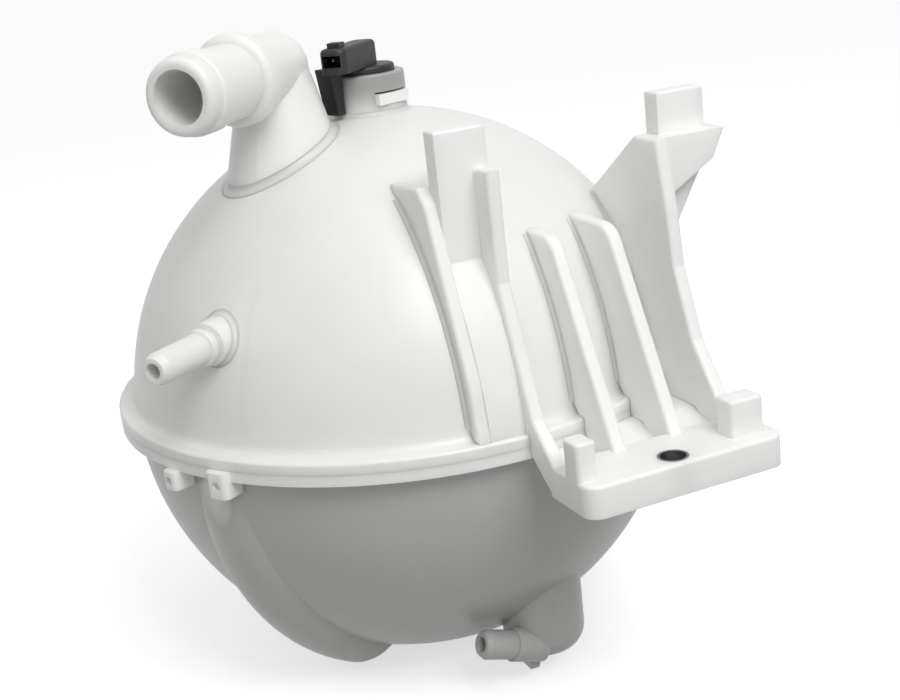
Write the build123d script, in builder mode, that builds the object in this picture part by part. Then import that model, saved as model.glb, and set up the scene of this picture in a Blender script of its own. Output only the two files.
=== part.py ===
from build123d import *
from math import cos, sin, radians
import os

os.makedirs("parts", exist_ok=True)

# The origin is the bolt hole of the bracket, at the top face of the bolt shelf.
# X points away from the bottle along the bracket, Z points up.

# Where the centre of the ball-shaped tank lies, seen from the bolt hole.
ball_x = -128.7
ball_y = -30.5
ball_z = -1.2
seam_gap = 0.3

# Tank shells
shell_r = 95.0
bowl_step = 0.2
wall_t = 2.8
weld_z = 3.1
flange_w = 5.4
upper_flange_t = 3.9
lower_flange_t = 3.5
flange_root_r = 2.5
baffle_t = 2.2
baffle_top_z = 57.0
baffle_bottom_z = -62.0
baffle_inner_r = 17.0
baffle_azimuth = 37.0
baffle_gap = 0.5

# Sensor cup on top of the dome
cup_x = -2.4
cup_azimuth = -70.0
cup_r = 13.1
cup_bore_r = 10.3
cup_top_z = 107.6
cup_seat_z = 93.0
boss_r = 12.0
boss_bottom_z = 84.0
boss_bore_r = 8.3
window_w = 13.2
window_bottom_z = 97.5
window_h = 4.2

# Vent nipple on the dome
nipple_r = 4.95
nipple_bore_r = 2.5
vent_end_x = 61.0
vent_end_y = -99.8
vent_z = 40.2
vent_azimuth = -53.0
vent_l = 31.0
vent_land_l = 21.0
vent_boss_r = 6.8
vent_ring_r = 5.9
vent_ring_t = 2.0
nipple_tip_c = 1.0

# Gooseneck for the hose
neck_x = 5.1
neck_y = -34.3
neck_azimuth = -46.0
neck_z = 114.2
neck_r = 11.7
neck_bore_r = 8.3
neck_reach = 58.0
neck_bend_r = 9.0
neck_foot_r = 24.4
neck_foot_z = 62.0
neck_top_r = 11.4
neck_hole_r = 10.4
neck_spigot_r = 10.2
neck_spigot_z = 84.0
neck_spigot_top_z = 97.0
bead_r = 12.6
bead_l = 8.0
bead_from_end = 10.0
collar_r = 14.45
collar_l = 8.0
collar_from_end = 34.3

# Bracket
rib_y1 = 1.2
rib_pitch = 19.53
rib_t = 4.5
shelf_back_x = 112.0
shelf_front_x = 135.0
shelf_top_z = 1.2
shelf_t = 10.0
shelf_corner_r = 5.0
shelf_far_extra = 3.7
bolt_sleeve_r = 4.7
bolt_bore_r = 3.9
tongue_x = 121.0
tongue_t = 8.5
far_tongue_w = 11.5
near_tongue_w = 6.5
tongue_h = 11.3
mould_r = 1.2
post_front_x = 80.0
post_t = 7.0
post_w = 16.5
post_top_z = 97.0
post_shoulder_z = 85.0
near_post_y = -4.3
far_post_y = 71.0
near_rib_y = -14.4
bracket_room = 2.8
bracket_clear_z = 10.6
rib_root_x = 50.0
rib_back_x = 60.0
rib_toe_x = 116.0
rib_under_x = 99.0
rib_under_z = 0.8
web_t = 2.6
web_bend_x = 97.0
web_low_x = 107.0
web_low_z = -2.0
mid_rib_top_z = 61.0
mid_rib_corner_x = 86.0
mid_rib_round_r = 9.0
near_rib_low_z = 68.0
near_rib_top_z = 85.0
near_rib_back_x = 73.0
near_rib_front_x = 89.0
near_rib_knee_z = 51.0
near_rib_heel_x = 103.0
near_rib_heel_z = 12.0
far_rib_root_x = 30.0
far_rib_root_z = 54.0
far_rib_top_x = 86.0
far_rib_knee_x = 90.0
far_rib_knee_z = 63.0
far_rib_waist_x = 92.0
far_rib_waist_z = 45.0
far_rib_heel_x = 100.0
far_rib_heel_z = 23.0
post_bend_z = 62.0
post_skin_t = 3.7
low_rib_top_z = 80.5
low_rib_back_z = 79.0
low_rib_top_x = 72.0
low_rib_nose_x = 77.0
low_rib_nose_z = 76.0
low_rib_knee_x = 86.0
low_rib_knee_z = 50.0
low_rib_heel_x = 95.0
low_rib_heel_z = 26.0
low_rib_toe_x = 98.5
rib_bend_r = 25.0
ledge_out_y = 82.5
ledge_drop = 6.0
ledge_lean = 1.5
ledge_t = 6.0
ledge_foot_z = 46.0
ledge_low_z = 66.0
ledge_knee_y = 78.0
ledge_knee_z = 75.0
back_rib_t = 3.2
back_rib_front_x = 75.0
back_rib_1_y = 71.0
back_rib_1_low_z = 62.0
back_rib_1_end_x = 30.0
back_rib_1_end_z = 30.0
back_rib_2_y = 80.0
back_rib_2_low_z = 75.0
back_rib_2_end_x = 22.0
back_rib_2_end_z = 22.0
back_rib_depth = 20.0
back_rib_top_x = 62.0
back_rib_toe_l = 14.0
back_rib_toe_h = 4.0
back_rib_step = 4.0

# Bowl details
pot_x = 59.0
pot_y = 17.0
pot_r = 14.0
pot_bottom_z = -88.0
pot_floor_r = 9.0
low_end_x = 68.2
low_end_y = -10.6
low_end_z = -74.6
low_azimuth = -85.0
low_tilt = 20.0
low_l = 24.0
low_land_l = 12.0
low_boss_r = 5.7
lobe_azimuth = -62.0
lobe_r = 22.0
lobe_bend_r = 75.4
lobe_centre_x = -1.4
lobe_centre_z = -7.8
lobe_rise = 7.0
lobe_turn = 66.0
lobe_foot_r = 2.0
lug_reach = 103.0
left_lug_azimuth = -69.5
left_lug_w = 6.5
left_lug_top_z = -0.4
left_lug_h = 6.0
right_lug_azimuth = -57.0
right_lug_w = 8.0
right_lug_top_z = 3.0
right_lug_h = 8.5
dimple_r = 1.4

# Level sensor
plug_r = 10.1
plug_top_z = 110.0
spigot_r = 8.0
stem_r = 4.0
stem_bore_r = 2.5
stem_top_z = 90.0
stem_bottom_z = -24.0
socket_azimuth = -46.0
socket_x = 24.4
socket_w = 9.2
socket_bottom_z = 110.0
socket_top_z = 118.3
socket_back_x = -3.0
cavity_w = 6.4
cavity_h = 3.8
cavity_l = 10.0
leg_top_x = 18.5
leg_bottom_x = 16.4
leg_bottom_z = 95.6
leg_w = 7.4
groove_z = 94.2
groove_h = 2.2
groove_r = 8.4
ring_section_r = 0.95
slot_inner = 4.1
slot_outer = 6.7
slot_bottom_z = 97.5
slot_h = 4.0
clip_t = 3.6
clip_leg = 2.2
clip_outer = 6.5
clip_front = 13.4
clip_bridge = 2.6
pin_t = 0.8
pin_y = 1.8
pin_in_x = -1.0
pin_out_x = 19.0
pin_z = 113.8
lead_r = 0.3
reed_r = 1.3
reed_l = 15.0
reed_z = 1.0
potting_l = 40.0
end_plug_l = 5.0
float_r = 7.7
float_bore_r = 4.4
float_h = 20.0
magnet_in_r = 4.9
magnet_out_r = 6.7
magnet_h = 5.0
stop_r = 6.2
stop_t = 1.2
stop_groove_r = 3.4
low_stop_z = -20.0
high_stop_z = 30.0

bowl_r = shell_r + bowl_step
flange_r = shell_r + flange_w
bracket_clear_r = shell_r + bracket_room

ball = Plane(origin=(ball_x, ball_y, ball_z), x_dir=(1, 0, 0), z_dir=(0, 0, 1))
cup_dir = (cos(radians(cup_azimuth)), sin(radians(cup_azimuth)), 0)
cup_side_dir = (sin(radians(cup_azimuth)), -cos(radians(cup_azimuth)), 0)
cup_at = (ball_x + cup_x, ball_y, ball_z)
cup = Plane(origin=cup_at, x_dir=cup_dir, z_dir=(0, 0, 1))
cup_side = Plane(origin=cup_at, x_dir=cup_dir, z_dir=cup_side_dir)
socket_dir = (cos(radians(socket_azimuth)), sin(radians(socket_azimuth)), 0)
socket = Plane(origin=cup_at, x_dir=socket_dir, z_dir=(0, 0, 1))


# Hollow of the upper half, less the baffles and the guide boss of the sensor.
with BuildPart() as upper_chamber:
    with Locations(ball):
        Sphere(shell_r - wall_t)
    split(bisect_by=ball.offset(weld_z), keep=Keep.TOP)
    with BuildSketch(ball.offset(weld_z + baffle_gap)) as upper_baffles:
        with PolarLocations((baffle_inner_r + shell_r) / 2, 4, baffle_azimuth):
            Rectangle(shell_r - baffle_inner_r, baffle_t)
    extrude(amount=baffle_top_z - weld_z - baffle_gap, mode=Mode.SUBTRACT)
    with BuildSketch(cup.offset(boss_bottom_z)) as guide_boss:
        Circle(boss_r)
    extrude(amount=shell_r - boss_bottom_z, mode=Mode.SUBTRACT)

# The vent nipple leaves the dome level, a little off the radial direction.
vent_dir = (cos(radians(vent_azimuth)), sin(radians(vent_azimuth)), 0)
vent_end = Plane(
    origin=(ball_x + vent_end_x, ball_y + vent_end_y, ball_z + vent_z),
    x_dir=(0, 0, 1),
    z_dir=vent_dir,
)

with BuildPart() as upper_shell:
    with Locations(ball):
        Sphere(shell_r)
    split(bisect_by=ball.offset(weld_z), keep=Keep.TOP)
    with BuildSketch(ball.offset(weld_z)) as upper_flange:
        Circle(flange_r)
    extrude(amount=upper_flange_t)
    rim_z = ball_z + weld_z + upper_flange_t
    circles = upper_shell.edges().filter_by(GeomType.CIRCLE)
    rim = circles.filter_by_position(Axis.Z, rim_z - 0.05, rim_z + 0.05)
    fillet(rim.sort_by(SortBy.RADIUS)[0], flange_root_r)
    circles = upper_shell.edges().filter_by(GeomType.CIRCLE)
    rim = circles.filter_by_position(Axis.Z, rim_z - 0.05, rim_z + 0.05)
    fillet(rim.sort_by(SortBy.RADIUS)[-1], 1.0)
    # Sensor cup
    with BuildSketch(cup.offset(cup_seat_z - 6)) as cup_wall:
        Circle(cup_r)
    extrude(amount=cup_top_z - cup_seat_z + 6)
    cup_rim = upper_shell.edges().filter_by(GeomType.CIRCLE).sort_by(Axis.Z)[-1:]
    fillet(cup_rim, 0.8)
    # Vent nipple
    with BuildSketch(vent_end.offset(-vent_l - 8)) as vent_tube:
        Circle(nipple_r)
    extrude(amount=vent_l + 8)
    chamfer(upper_shell.edges().group_by(Axis(vent_end.origin, vent_dir))[-1], 2.5, nipple_tip_c)
    with BuildSketch(vent_end.offset(-vent_l - 6)) as vent_boss:
        Circle(vent_boss_r)
    extrude(amount=vent_l + 6 - vent_land_l - vent_ring_t - 2)
    with BuildSketch(vent_end.offset(-vent_land_l - vent_ring_t)) as vent_ring:
        Circle(vent_ring_r)
    extrude(amount=vent_ring_t)
    add(upper_chamber.part, mode=Mode.SUBTRACT)
    # Bores
    with BuildSketch(vent_end) as vent_bore:
        Circle(nipple_bore_r)
    extrude(amount=-vent_l - 12, mode=Mode.SUBTRACT)
    with BuildSketch(cup.offset(cup_seat_z)) as cup_bore:
        Circle(cup_bore_r)
    extrude(amount=cup_top_z, mode=Mode.SUBTRACT)
    with BuildSketch(cup) as boss_bore:
        Circle(boss_bore_r)
    extrude(amount=cup_top_z, mode=Mode.SUBTRACT)
    with BuildSketch(cup.offset(window_bottom_z)) as windows:
        Rectangle(window_w, 4 * cup_r)
    extrude(amount=window_h, mode=Mode.SUBTRACT)
    # Hole in the dome under the gooseneck
    with BuildSketch(ball.offset(neck_foot_z - 10)) as neck_hole:
        with Locations((neck_x, neck_y)):
            Circle(neck_hole_r)
    extrude(amount=shell_r, mode=Mode.SUBTRACT)

upper_shell.part.label = "upper_shell"
export_step(upper_shell.part, "parts/upper_shell.step")


# The bowl swells into a rounded lobe that runs down from the lugs to a foot.
lobe_dir = (cos(radians(lobe_azimuth)), sin(radians(lobe_azimuth)), 0)
lobe_start_dir = (
    cos(radians(lobe_rise)) * lobe_dir[0],
    cos(radians(lobe_rise)) * lobe_dir[1],
    sin(radians(lobe_rise)),
)
lobe_axis_dir = (-lobe_dir[1], lobe_dir[0], 0)
lobe_centre = (
    ball_x + lobe_centre_x * lobe_dir[0],
    ball_y + lobe_centre_x * lobe_dir[1],
    ball_z + lobe_centre_z,
)
lobe_section = Plane(
    origin=lobe_centre,
    x_dir=lobe_start_dir,
    z_dir=Vector(lobe_start_dir).cross(Vector(lobe_axis_dir)),
)

# Hollow of the lower half, with the lobe and the sump pot, less the baffles.
with BuildPart() as lower_chamber:
    with Locations(ball):
        Sphere(bowl_r - wall_t)
    split(bisect_by=ball.offset(weld_z), keep=Keep.BOTTOM)
    with BuildSketch(lobe_section) as hollow_round:
        with Locations((lobe_bend_r, 0)):
            Circle(lobe_r - wall_t)
    revolve(axis=Axis(lobe_centre, lobe_axis_dir), revolution_arc=lobe_turn - 3)
    split(bisect_by=ball.offset(weld_z), keep=Keep.BOTTOM)
    with BuildSketch(ball.offset(pot_bottom_z + wall_t)) as pot_hollow:
        with Locations((pot_x, pot_y)):
            Circle(pot_r - wall_t)
    extrude(amount=-pot_bottom_z / 2)
    with BuildSketch(ball.offset(baffle_bottom_z)) as lower_baffles:
        with PolarLocations((baffle_inner_r + bowl_r) / 2, 4, baffle_azimuth):
            Rectangle(bowl_r - baffle_inner_r, baffle_t)
    extrude(amount=weld_z - baffle_gap - baffle_bottom_z, mode=Mode.SUBTRACT)

# The lower nipple leaves the sump pot sideways and a little upwards.
low_dir = (
    cos(radians(low_tilt)) * cos(radians(low_azimuth)),
    cos(radians(low_tilt)) * sin(radians(low_azimuth)),
    sin(radians(low_tilt)),
)
low_end = Plane(
    origin=(ball_x + low_end_x, ball_y + low_end_y, ball_z + low_end_z),
    x_dir=(-sin(radians(low_azimuth)), cos(radians(low_azimuth)), 0),
    z_dir=low_dir,
)

with BuildPart() as lower_shell:
    with BuildSketch(lobe_section) as lobe_round:
        with Locations((lobe_bend_r, 0)):
            Circle(lobe_r)
    revolve(axis=Axis(lobe_centre, lobe_axis_dir), revolution_arc=lobe_turn)
    foot_edge = lower_shell.edges().filter_by(GeomType.CIRCLE).sort_by(Axis.Z)[0]
    fillet(foot_edge, lobe_foot_r)
    with Locations(ball):
        Sphere(bowl_r)
    split(bisect_by=ball.offset(weld_z), keep=Keep.BOTTOM)
    with BuildSketch(ball.offset(weld_z)) as lower_flange:
        Circle(flange_r)
    extrude(amount=-lower_flange_t)
    # Sump pot, with a small foot under it
    with BuildSketch(ball.offset(pot_bottom_z)) as pot_wall:
        with Locations((pot_x, pot_y)):
            Circle(pot_r)
    extrude(amount=-pot_bottom_z / 2)
    pot_z = ball_z + pot_bottom_z
    pot_rim = lower_shell.edges().filter_by(GeomType.CIRCLE)
    fillet(pot_rim.filter_by_position(Axis.Z, pot_z - 0.05, pot_z + 0.05), pot_floor_r)
    with BuildSketch(ball.offset(pot_bottom_z - 3)) as pot_foot:
        with Locations((pot_x + 3, pot_y - 8)):
            Rectangle(8, 3.2)
    extrude(amount=10, taper=-12)
    # Two lugs under the flange
    for lug_azimuth, lug_w, lug_top_z, lug_h in (
        (left_lug_azimuth, left_lug_w, left_lug_top_z, left_lug_h),
        (right_lug_azimuth, right_lug_w, right_lug_top_z, right_lug_h),
    ):
        lug_x = cos(radians(lug_azimuth))
        lug_y = sin(radians(lug_azimuth))
        lug_top = Plane(
            origin=(ball_x, ball_y, ball_z + lug_top_z),
            x_dir=(lug_x, lug_y, 0),
            z_dir=(0, 0, -1),
        )
        with BuildSketch(lug_top) as lug:
            with Locations((lug_reach - 6, 0)):
                RectangleRounded(12, lug_w, 2)
        extrude(amount=lug_h)
        lug_front = Plane(
            origin=(
                ball_x + lug_reach * lug_x,
                ball_y + lug_reach * lug_y,
                ball_z + lug_top_z - lug_h / 2,
            ),
            x_dir=(0, 0, 1),
            z_dir=(lug_x, lug_y, 0),
        )
        with BuildSketch(lug_front) as dimple:
            Circle(dimple_r)
        extrude(amount=-2.0, mode=Mode.SUBTRACT)
    # Lower nipple
    with BuildSketch(low_end) as low_tube:
        Circle(nipple_r)
    extrude(amount=-low_l)
    end_edges = lower_shell.edges().filter_by(GeomType.CIRCLE)
    chamfer(end_edges.sort_by_distance(low_end.origin)[0], 1.5, nipple_tip_c)
    with BuildSketch(low_end.offset(-low_land_l)) as low_boss:
        Circle(low_boss_r)
    extrude(amount=low_land_l - low_l)
    add(lower_chamber.part, mode=Mode.SUBTRACT)
    with BuildSketch(low_end) as low_bore:
        Circle(nipple_bore_r)
    extrude(amount=-low_l, mode=Mode.SUBTRACT)

lower_shell.part.label = "lower_shell"
export_step(lower_shell.part, "parts/lower_shell.step")


# Gooseneck: a tapered foot on the dome, an elbow and a level hose spigot.
neck_at = Vector(ball_x + neck_x, ball_y + neck_y, ball_z)
neck_dir = Vector(cos(radians(neck_azimuth)), sin(radians(neck_azimuth)), 0)
neck_foot = Plane(origin=neck_at, x_dir=neck_dir, z_dir=(0, 0, 1))
neck_side = Plane(origin=neck_at, x_dir=neck_dir, z_dir=(neck_dir.Y, -neck_dir.X, 0))
neck_end = Plane(
    origin=neck_at + neck_dir * neck_reach + Vector(0, 0, neck_z),
    x_dir=(0, 0, 1),
    z_dir=neck_dir,
)

with BuildPart() as filler_neck:
    with BuildSketch(neck_foot.offset(neck_foot_z)) as foot_low:
        Circle(neck_foot_r)
    with BuildSketch(neck_foot.offset(neck_z)) as foot_high:
        Circle(neck_top_r)
    loft(sections=[foot_low.sketch, foot_high.sketch])
    with Locations(neck_foot.offset(neck_z)):
        Sphere(neck_r)
    with BuildSketch(neck_end) as neck_tube:
        Circle(neck_r)
    extrude(amount=-neck_reach)
    end_edges = filler_neck.edges().filter_by(GeomType.CIRCLE)
    fillet(end_edges.sort_by_distance(neck_end.origin)[0], 2.2)
    with BuildSketch(neck_end.offset(-bead_from_end - bead_l / 2)) as bead:
        Circle(bead_r)
    extrude(amount=bead_l)
    with BuildSketch(neck_end.offset(-collar_from_end - collar_l / 2)) as collar:
        Circle(collar_r)
    extrude(amount=collar_l)
    ring_edges = filler_neck.edges().filter_by(GeomType.CIRCLE)
    fillet(ring_edges.filter_by(lambda e: abs(e.radius - bead_r) < 0.01), 0.85)
    ring_edges = filler_neck.edges().filter_by(GeomType.CIRCLE)
    fillet(ring_edges.filter_by(lambda e: abs(e.radius - collar_r) < 0.01), 2.4)
    with Locations(ball):
        Sphere(shell_r + seam_gap, mode=Mode.SUBTRACT)
    with BuildSketch(neck_foot.offset(neck_spigot_z)) as neck_spigot:
        Circle(neck_spigot_r)
    extrude(amount=neck_spigot_top_z - neck_spigot_z)
    with BuildLine(neck_side) as bore_path:
        FilletPolyline((0, neck_foot_z), (0, neck_z), (neck_reach + 1, neck_z), radius=neck_bend_r)
    with BuildSketch(neck_foot.offset(neck_foot_z)) as neck_bore:
        Circle(neck_bore_r)
    sweep(path=bore_path.wires()[0], mode=Mode.SUBTRACT)

filler_neck.part.label = "filler_neck"
export_step(filler_neck.part, "parts/filler_neck.step")


# Bracket: four ribs that carry the bolt shelf, and a tall post beside each outer rib.
rib_y2 = rib_y1 + rib_pitch
rib_y3 = rib_y2 + rib_pitch
rib_y4 = rib_y3 + rib_pitch
shelf_near_y = rib_y1 - rib_t / 2
shelf_far_y = rib_y4 + rib_t / 2
shelf_low_z = shelf_top_z - shelf_t
flange_top_z = weld_z + upper_flange_t
ledge_z = post_shoulder_z - 1


def upright(y):
    """The upright plane at this distance along the bracket, seen from its near end."""
    return Plane(origin=(ball_x, ball_y + y, ball_z), x_dir=(1, 0, 0), z_dir=(0, -1, 0))


with BuildPart() as middle_ribs:
    for rib_y in (rib_y2, rib_y3):
        with BuildSketch(upright(rib_y)):
            with BuildLine():
                Polyline(
                    (rib_root_x, mid_rib_top_z), (mid_rib_corner_x, mid_rib_top_z), (rib_toe_x, shelf_top_z),
                    (rib_toe_x, shelf_low_z), (shelf_back_x, shelf_low_z), (rib_under_x, rib_under_z),
                    (rib_root_x, rib_under_z), close=True,
                )
            rib_shape = make_face()
            fillet(rib_shape.vertices().sort_by(Axis((0, 0, 0), (1, 1, 0)))[-1], mid_rib_round_r)
        extrude(amount=rib_t / 2, both=True)
    fillet(middle_ribs.faces().filter_by(Axis.Y).edges(), mould_r)

with BuildPart() as near_rib:
    with BuildSketch(upright(rib_y1)):
        with BuildLine():
            Polyline(
                (rib_root_x, near_rib_low_z), (near_rib_back_x, near_rib_top_z),
                (near_rib_front_x, near_rib_top_z), (near_rib_front_x, near_rib_knee_z),
                (near_rib_heel_x, near_rib_heel_z), (rib_toe_x, shelf_top_z - mould_r),
                (rib_toe_x, shelf_low_z), (shelf_back_x, shelf_low_z), (rib_under_x, rib_under_z),
                (rib_root_x, rib_under_z), close=True,
            )
        make_face()
    extrude(amount=rib_t / 2, both=True)
    fillet(near_rib.faces().filter_by(Axis.Y).edges(), mould_r)

with BuildPart() as far_rib:
    with BuildSketch(upright(rib_y4)):
        with BuildLine():
            Polyline(
                (far_rib_root_x, far_rib_root_z), (post_front_x - post_t, ledge_z), (far_rib_top_x, ledge_z),
                (far_rib_knee_x, far_rib_knee_z), (far_rib_waist_x, far_rib_waist_z),
                (far_rib_heel_x, far_rib_heel_z), (rib_toe_x, shelf_top_z),
                (rib_toe_x, shelf_low_z), (shelf_back_x, shelf_low_z), (rib_under_x, rib_under_z),
                (far_rib_root_x, rib_under_z), close=True,
            )
        make_face()
    extrude(amount=rib_t / 2, both=True)
    fillet(far_rib.faces().filter_by(Axis.Y).edges(), mould_r)

# The near post leans on the dome down to the flange; a lower rib runs beside it.
with BuildPart() as near_post:
    with BuildSketch(upright(near_post_y)):
        Circle(shell_r + post_skin_t)
        with Locations((shell_r, (post_bend_z + flange_top_z) / 2)):
            Rectangle(2 * (shell_r - rib_back_x), post_bend_z - flange_top_z, mode=Mode.INTERSECT)
        with Locations((post_front_x - post_t / 2, (post_top_z + ledge_foot_z) / 2)):
            Rectangle(post_t, post_top_z - ledge_foot_z)
    extrude(amount=post_w / 2, both=True)
    fillet(near_post.faces().sort_by(Axis.Z)[-1].edges(), 0.8)

with BuildPart() as near_low_rib:
    with BuildSketch(upright(near_rib_y)):
        with BuildLine():
            Polyline(
                (rib_root_x, low_rib_back_z), (low_rib_top_x, low_rib_top_z),
                (low_rib_nose_x, low_rib_nose_z), (low_rib_knee_x, low_rib_knee_z),
                (low_rib_heel_x, low_rib_heel_z),
                (low_rib_toe_x, flange_top_z), (rib_root_x, flange_top_z), close=True,
            )
        low_rib_shape = make_face()
        knee = low_rib_shape.vertices().sort_by_distance((low_rib_knee_x, low_rib_knee_z))[0]
        heel = low_rib_shape.vertices().sort_by_distance((low_rib_heel_x, low_rib_heel_z))[0]
        fillet((knee, heel), rib_bend_r)
    extrude(amount=rib_t / 2, both=True)
    fillet(near_low_rib.faces().filter_by(Axis.Y).edges(), mould_r)

# The far post has a tongue, a ledge that tapers down to the rib, and two ribs behind it.
post_face = Plane(origin=(ball_x + post_front_x, ball_y, ball_z), x_dir=(0, 1, 0), z_dir=(1, 0, 0))
with BuildPart() as far_post:
    with BuildSketch(post_face):
        with BuildLine():
            Polyline(
                (rib_y4, ledge_foot_z), (shelf_far_y, ledge_foot_z),
                (ledge_out_y - ledge_lean, ledge_z - ledge_drop), (ledge_out_y, ledge_z),
                (far_post_y + post_w / 2, ledge_z), (far_post_y + post_w / 2, post_top_z),
                (far_post_y - post_w / 2, post_top_z), (far_post_y - post_w / 2, ledge_z),
                (rib_y4, ledge_z), close=True,
            )
        make_face()
    extrude(amount=-post_t)
    fillet(far_post.edges().group_by(Axis.Z)[-1], 0.8)
    with BuildSketch(post_face):
        with BuildLine():
            Polyline(
                (rib_y4, ledge_low_z), (shelf_far_y, ledge_low_z), (ledge_knee_y, ledge_knee_z),
                (ledge_out_y, ledge_z), (rib_y4, ledge_z), close=True,
            )
        make_face()
    extrude(amount=ledge_t)
    for rib_y, low_z, end_x, end_z in (
        (back_rib_1_y, back_rib_1_low_z, back_rib_1_end_x, back_rib_1_end_z),
        (back_rib_2_y, back_rib_2_low_z, back_rib_2_end_x, back_rib_2_end_z),
    ):
        with BuildSketch(upright(rib_y)):
            with BuildLine():
                Polyline(
                    (back_rib_front_x, ledge_z), (back_rib_front_x, low_z), (end_x + back_rib_toe_l, end_z + back_rib_toe_h),
                    (end_x, end_z), (end_x, end_z + back_rib_depth), (back_rib_top_x, ledge_z - back_rib_step),
                    close=True,
                )
            make_face()
        extrude(amount=back_rib_t / 2, both=True)

shelf_plane = Plane(origin=(ball_x, ball_y, ball_z + shelf_top_z), x_dir=(1, 0, 0), z_dir=(0, 0, 1))
with BuildPart() as shelf:
    with BuildSketch(shelf_plane):
        with BuildLine():
            Polyline(
                (shelf_back_x, shelf_near_y), (shelf_front_x, shelf_near_y),
                (shelf_front_x, shelf_far_y + shelf_far_extra),
                (shelf_back_x, shelf_far_y + shelf_far_extra), close=True,
            )
        shelf_outline = make_face()
        fillet(shelf_outline.vertices().group_by(Axis.X)[-1], shelf_corner_r)
    extrude(amount=-shelf_t)
    fillet(shelf.faces().sort_by(Axis.Z)[-1].edges(), mould_r)
    with BuildSketch(Plane.XY) as bolt_hole:
        Circle(bolt_sleeve_r)
    extrude(amount=-shelf_t, mode=Mode.SUBTRACT)

# A thin floor joins the shelf and the ribs to the edge of the flange.
with BuildPart() as web:
    with BuildSketch(upright((shelf_near_y + shelf_far_y) / 2)):
        with BuildLine():
            Polyline(
                (rib_back_x, shelf_top_z), (web_bend_x, shelf_top_z), (web_low_x, web_low_z),
                (shelf_back_x + 1, web_low_z), (shelf_back_x + 1, web_low_z - 2 * web_t),
                (web_low_x, web_low_z - web_t), (web_bend_x, shelf_top_z - web_t),
                (rib_back_x, shelf_top_z - web_t), close=True,
            )
        make_face()
    extrude(amount=(shelf_far_y - shelf_near_y - rib_t) / 2, both=True)

with BuildPart() as small_tongues:
    with BuildSketch(shelf_plane.offset(-2)):
        with Locations((tongue_x + tongue_t / 2, shelf_near_y + near_tongue_w / 2)):
            Rectangle(tongue_t, near_tongue_w)
        with Locations((tongue_x + tongue_t / 2, shelf_far_y - far_tongue_w / 2)):
            Rectangle(tongue_t, far_tongue_w)
    extrude(amount=tongue_h + 2)
    fillet(small_tongues.edges().filter_by(Axis.Z), 1.5)
    fillet(small_tongues.faces().sort_by(Axis.Z)[-2:].edges(), 0.8)

with BuildPart() as mounting_bracket:
    add(middle_ribs.part)
    add(near_rib.part)
    add(far_rib.part)
    add(near_post.part)
    add(near_low_rib.part)
    add(far_post.part)
    add(shelf.part)
    add(web.part)
    add(small_tongues.part)
    # Room for the dome, its flanges and the flange root
    with Locations(ball):
        Sphere(shell_r + seam_gap, mode=Mode.SUBTRACT)
    with BuildSketch(ball.offset(flange_top_z)) as flange_room:
        Circle(flange_r + seam_gap)
    extrude(amount=-flange_top_z - shelf_t * 2, mode=Mode.SUBTRACT)
    with Locations(ball.offset((flange_top_z + bracket_clear_z) / 2)):
        Cone(bracket_clear_r, shell_r, bracket_clear_z - flange_top_z, mode=Mode.SUBTRACT)

mounting_bracket.part.label = "mounting_bracket"
export_step(mounting_bracket.part, "parts/mounting_bracket.step")

with BuildPart() as bolt_sleeve:
    with BuildSketch(Plane.XY) as sleeve_ring:
        Circle(bolt_sleeve_r)
        Circle(bolt_bore_r, mode=Mode.SUBTRACT)
    extrude(amount=-shelf_t)

bolt_sleeve.part.label = "bolt_sleeve"
export_step(bolt_sleeve.part, "parts/bolt_sleeve.step")


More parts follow.
